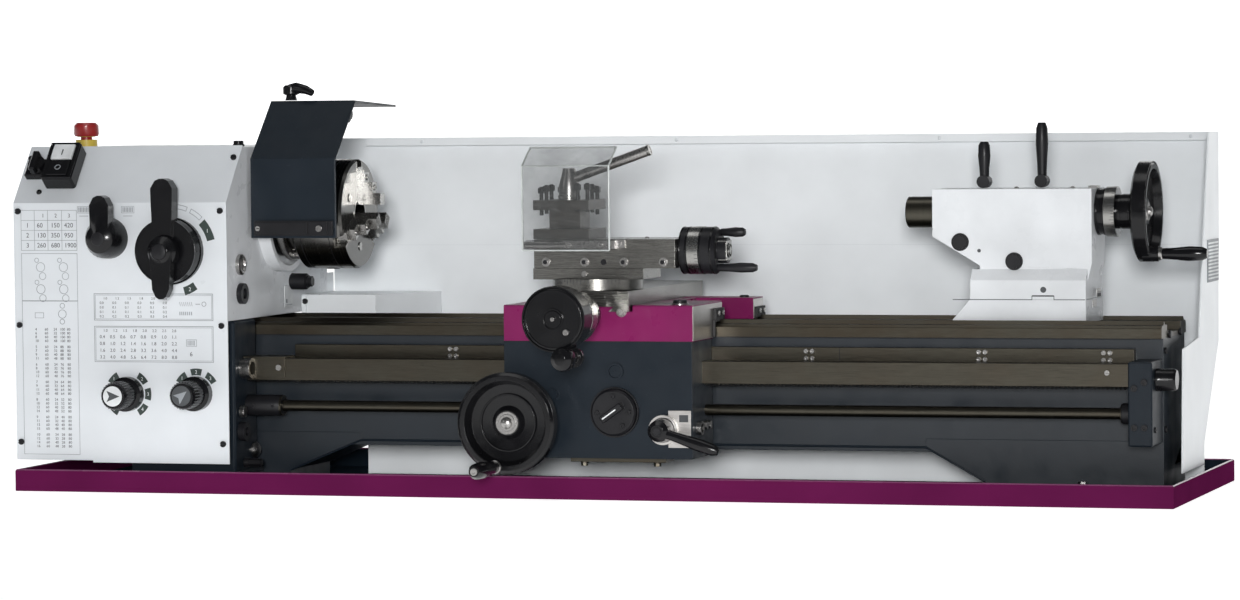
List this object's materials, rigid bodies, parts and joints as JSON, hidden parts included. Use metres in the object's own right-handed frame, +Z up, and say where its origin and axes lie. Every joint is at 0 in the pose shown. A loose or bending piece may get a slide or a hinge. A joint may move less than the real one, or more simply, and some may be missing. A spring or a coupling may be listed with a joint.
{
  "type": "bench lathe",
  "caption": "Metal-turning bench lathe with three-jaw chuck, sliding carriage, compound slide, tool post, tailstock, chip tray and rear splash guard.",
  "frame": {"origin": "middle of the underside of the chip tray, on the surface the machine stands on", "axes": "+X from the headstock to the tailstock, along the bed and the spindle; +Y from the operator to the splash guard; +Z up"},
  "size_m": [1.716, 0.629, 0.584],
  "materials": {
    "tray_paint": "satin purple paint",
    "body_paint": "semi-gloss dark blue-grey machine paint",
    "sheet_paint": "smooth light grey-white paint",
    "saddle_paint": "gloss magenta machine paint",
    "casting_white": "gloss white paint on a filled casting",
    "black_plastic": "glossy black moulding",
    "black_metal": "black oxide and paint",
    "steel": "ground and turned bright steel",
    "ground_steel": "oiled darker ground steel",
    "red_plastic": "red mushroom head",
    "yellow_plastic": "yellow collar",
    "clear_plastic": "clear chip shield, slightly hazy",
    "belt_rubber": "matt black belt rubber"
  },
  "bodies": {
    "frame": {"drip_tray": "tray_paint", "bed": "body_paint", "rack": "ground_steel", "splash_guard": "sheet_paint", "front_panel": "sheet_paint", "headstock_casting": "casting_white", "feed_gearbox": "body_paint", "gear_housing": "casting_white", "rear_box": "sheet_paint", "motor": "body_paint", "drive_belt": "belt_rubber", "guard_bracket": "body_paint", "switch_housing": "black_plastic", "estop_base": "yellow_plastic", "leadscrew_cover": "ground_steel", "leadscrew_bracket": "body_paint"},
    "end_cover": {"gear_cover": "sheet_paint"},
    "guard": {"chuck_guard": "body_paint", "guard_knob": "black_plastic"},
    "spindle": {"spindle": "steel", "chuck_body": "steel", "spindle_pulley": "ground_steel"},
    "motor_pulley": {"motor_pulley": "ground_steel"},
    "jaw_1": {"chuck_jaw_1": "steel"},
    "jaw_2": {"chuck_jaw_2": "steel"},
    "jaw_3": {"chuck_jaw_3": "steel"},
    "start_button": {"start_button": "casting_white"},
    "stop_button": {"stop_button": "black_plastic"},
    "estop_button": {"estop_button": "red_plastic"},
    "rotary_switch": {"rotary_switch": "black_plastic"},
    "direction_lever": {"direction_lever": "black_plastic"},
    "speed_lever": {"speed_lever": "black_plastic"},
    "range_lever": {"range_lever": "black_plastic"},
    "feed_knob_left": {"feed_knob_left": "black_plastic"},
    "feed_knob_right": {"feed_knob_right": "black_plastic"},
    "leadscrew": {"leadscrew": "steel"},
    "feed_rod": {"feed_rod": "ground_steel"},
    "carriage": {"saddle": "saddle_paint", "apron": "body_paint"},
    "carriage_handwheel": {"carriage_handwheel": "black_plastic"},
    "carriage_grip": {"carriage_grip": "black_plastic"},
    "half_nut_lever": {"half_nut_lever": "black_plastic"},
    "feed_selector": {"feed_selector": "black_metal"},
    "cross_slide": {"cross_slide": "ground_steel"},
    "cross_handwheel": {"cross_handwheel": "black_plastic"},
    "cross_grip": {"cross_grip": "black_plastic"},
    "swivel_base": {"swivel_base": "steel"},
    "top_slide": {"top_slide": "ground_steel", "shield_hinge": "steel"},
    "top_slide_handwheel": {"top_slide_handwheel": "black_metal"},
    "tool_post": {"tool_post": "ground_steel"},
    "tool_post_lever": {"tool_post_lever": "steel"},
    "tool_shield": {"tool_shield": "clear_plastic"},
    "tailstock": {"tailstock_base": "casting_white", "tailstock_body": "casting_white"},
    "quill": {"quill": "steel"},
    "tailstock_handwheel": {"tailstock_handwheel": "black_plastic"},
    "tailstock_grip": {"tailstock_grip": "black_plastic"},
    "quill_lock_lever": {"quill_lock_lever": "black_metal"},
    "tailstock_clamp_lever": {"tailstock_clamp_lever": "black_metal"}
  },
  "joints": [
    {"name": "end_cover_hinge", "type": "hinge", "parent": "frame", "child": "end_cover", "pos_m": [-0.85, 0.273, 0.27], "axis": [0, 0, -1], "range_deg": [0, 100]},
    {"name": "guard_hinge", "type": "hinge", "parent": "frame", "child": "guard", "pos_m": [-0.455, 0.2085, 0.54], "axis": [-1, 0, 0], "range_deg": [0, 95]},
    {"name": "spindle_spin", "type": "hinge", "parent": "frame", "child": "spindle", "pos_m": [-0.44, 0.0665, 0.395], "axis": [1, 0, 0], "continuous": true},
    {"name": "motor_spin", "type": "hinge", "parent": "frame", "child": "motor_pulley", "pos_m": [-0.726, 0.2265, 0.15], "axis": [1, 0, 0], "continuous": true},
    {"name": "jaw_1_slide", "type": "slide", "parent": "spindle", "child": "jaw_1", "axis": [0, 0, 1], "range_m": [-0.005, 0.02]},
    {"name": "jaw_2_slide", "type": "slide", "parent": "spindle", "child": "jaw_2", "axis": [0, -0.866, -0.5], "range_m": [-0.005, 0.02]},
    {"name": "jaw_3_slide", "type": "slide", "parent": "spindle", "child": "jaw_3", "axis": [0, 0.866, -0.5], "range_m": [-0.005, 0.02]},
    {"name": "start_press", "type": "slide", "parent": "frame", "child": "start_button", "axis": [0, 0.7659, -0.6429], "range_m": [0, 0.004], "stiffness_N_per_m": 600},
    {"name": "stop_press", "type": "slide", "parent": "frame", "child": "stop_button", "axis": [0, 0.7659, -0.6429], "range_m": [0, 0.004], "stiffness_N_per_m": 600},
    {"name": "estop_press", "type": "slide", "parent": "frame", "child": "estop_button", "axis": [0, 0, -1], "range_m": [0, 0.0025]},
    {"name": "rotary_turn", "type": "hinge", "parent": "frame", "child": "rotary_switch", "pos_m": [-0.83, -0.11063, 0.46934], "axis": [0, -0.7659, 0.6429], "range_deg": [-45, 45]},
    {"name": "direction_lever_turn", "type": "hinge", "parent": "frame", "child": "direction_lever", "pos_m": [-0.708, -0.15, 0.366], "axis": [0, 1, 0], "range_deg": [-25, 25]},
    {"name": "speed_lever_turn", "type": "hinge", "parent": "frame", "child": "speed_lever", "pos_m": [-0.609, -0.15, 0.348], "axis": [0, 1, 0], "range_deg": [-28, 28]},
    {"name": "range_lever_turn", "type": "hinge", "parent": "frame", "child": "range_lever", "pos_m": [-0.607, -0.19, 0.348], "axis": [0, 1, 0], "range_deg": [-40, 40]},
    {"name": "feed_knob_left_turn", "type": "hinge", "parent": "frame", "child": "feed_knob_left", "pos_m": [-0.6815, -0.16, 0.141], "axis": [0, 1, 0], "range_deg": [-120, 120]},
    {"name": "feed_knob_right_turn", "type": "hinge", "parent": "frame", "child": "feed_knob_right", "pos_m": [-0.5755, -0.16, 0.1425], "axis": [0, 1, 0], "range_deg": [-120, 120]},
    {"name": "leadscrew_spin", "type": "hinge", "parent": "frame", "child": "leadscrew", "pos_m": [0.3, -0.0595, 0.168], "axis": [1, 0, 0], "continuous": true},
    {"name": "feed_rod_spin", "type": "hinge", "parent": "frame", "child": "feed_rod", "pos_m": [0.3, -0.0595, 0.121], "axis": [1, 0, 0], "continuous": true},
    {"name": "carriage_slide", "type": "slide", "parent": "frame", "child": "carriage", "axis": [1, 0, 0], "range_m": [-0.19, 0.12]},
    {"name": "carriage_handwheel_turn", "type": "hinge", "parent": "carriage", "child": "carriage_handwheel", "pos_m": [-0.091, -0.18, 0.108], "axis": [0, 1, 0], "continuous": true},
    {"name": "carriage_grip_spin", "type": "hinge", "parent": "carriage_handwheel", "child": "carriage_grip", "pos_m": [-0.106, -0.23, 0.047], "axis": [0, 1, 0], "continuous": true},
    {"name": "half_nut_lever_turn", "type": "hinge", "parent": "carriage", "child": "half_nut_lever", "pos_m": [0.1225, -0.16, 0.097], "axis": [0, -1, 0], "range_deg": [0, 40]},
    {"name": "feed_selector_turn", "type": "hinge", "parent": "carriage", "child": "feed_selector", "pos_m": [0.051, -0.14, 0.121], "axis": [0, 1, 0], "range_deg": [-35, 35]},
    {"name": "cross_slide_travel", "type": "slide", "parent": "carriage", "child": "cross_slide", "axis": [0, 1, 0], "range_m": [-0.02, 0.062]},
    {"name": "cross_handwheel_turn", "type": "hinge", "parent": "carriage", "child": "cross_handwheel", "pos_m": [0.011, -0.17, 0.2585], "axis": [0, 1, 0], "continuous": true},
    {"name": "cross_grip_spin", "type": "hinge", "parent": "cross_handwheel", "child": "cross_grip", "pos_m": [0.03, -0.26, 0.2045], "axis": [0, 1, 0], "continuous": true},
    {"name": "swivel_turn", "type": "hinge", "parent": "cross_slide", "child": "swivel_base", "pos_m": [0.011, -0.0745, 0.3], "axis": [0, 0, 1], "range_deg": [-45, 45]},
    {"name": "top_slide_travel", "type": "slide", "parent": "swivel_base", "child": "top_slide", "axis": [1, 0, 0], "range_m": [-0.03, 0.05]},
    {"name": "top_slide_handwheel_turn", "type": "hinge", "parent": "top_slide", "child": "top_slide_handwheel", "pos_m": [0.16, -0.0745, 0.346], "axis": [1, 0, 0], "range_deg": [-2699, 4499]},
    {"name": "tool_post_turn", "type": "hinge", "parent": "top_slide", "child": "tool_post", "pos_m": [-0.03, -0.0745, 0.39], "axis": [0, 0, 1], "range_deg": [-180, 180]},
    {"name": "tool_post_lever_turn", "type": "hinge", "parent": "top_slide", "child": "tool_post_lever", "pos_m": [-0.03, -0.0745, 0.43], "axis": [0, 0, 1], "range_deg": [0, 80]},
    {"name": "tool_shield_hinge", "type": "hinge", "parent": "top_slide", "child": "tool_shield", "pos_m": [-0.03, -0.1295, 0.355], "axis": [1, 0, 0], "range_deg": [0, 90]},
    {"name": "tailstock_slide", "type": "slide", "parent": "frame", "child": "tailstock", "axis": [1, 0, 0], "range_m": [-0.12, 0.05]},
    {"name": "quill_travel", "type": "slide", "parent": "tailstock", "child": "quill", "axis": [-1, 0, 0], "range_m": [-0.037, 0.08]},
    {"name": "tailstock_handwheel_turn", "type": "hinge", "parent": "tailstock", "child": "tailstock_handwheel", "pos_m": [0.76, 0.0665, 0.395], "axis": [-1, 0, 0], "range_deg": [-2664, 5760]},
    {"name": "tailstock_grip_spin", "type": "hinge", "parent": "tailstock_handwheel", "child": "tailstock_grip", "pos_m": [0.82, 0.0425, 0.337], "axis": [1, 0, 0], "continuous": true},
    {"name": "quill_lock_turn", "type": "hinge", "parent": "tailstock", "child": "quill_lock_lever", "pos_m": [0.543, 0.0445, 0.438], "axis": [0, 1, 0], "range_deg": [-25, 25]},
    {"name": "tailstock_clamp_turn", "type": "hinge", "parent": "tailstock", "child": "tailstock_clamp_lever", "pos_m": [0.619, 0.0745, 0.438], "axis": [0, 1, 0], "range_deg": [-35, 35]}
  ],
  "couplings": [
    {"joint": "motor_spin", "follows": "spindle_spin", "ratio": 2},
    {"joint": "jaw_2_slide", "follows": "jaw_1_slide", "ratio": 1},
    {"joint": "jaw_3_slide", "follows": "jaw_1_slide", "ratio": 1},
    {"joint": "carriage_handwheel_turn", "follows": "carriage_slide", "rad_per_m": 261.8},
    {"joint": "cross_handwheel_turn", "follows": "cross_slide_travel", "rad_per_m": 1570.8},
    {"joint": "top_slide_travel", "follows": "top_slide_handwheel_turn", "m_per_rad": 0.00063662},
    {"joint": "quill_travel", "follows": "tailstock_handwheel_turn", "m_per_rad": 0.00079577}
  ]
}
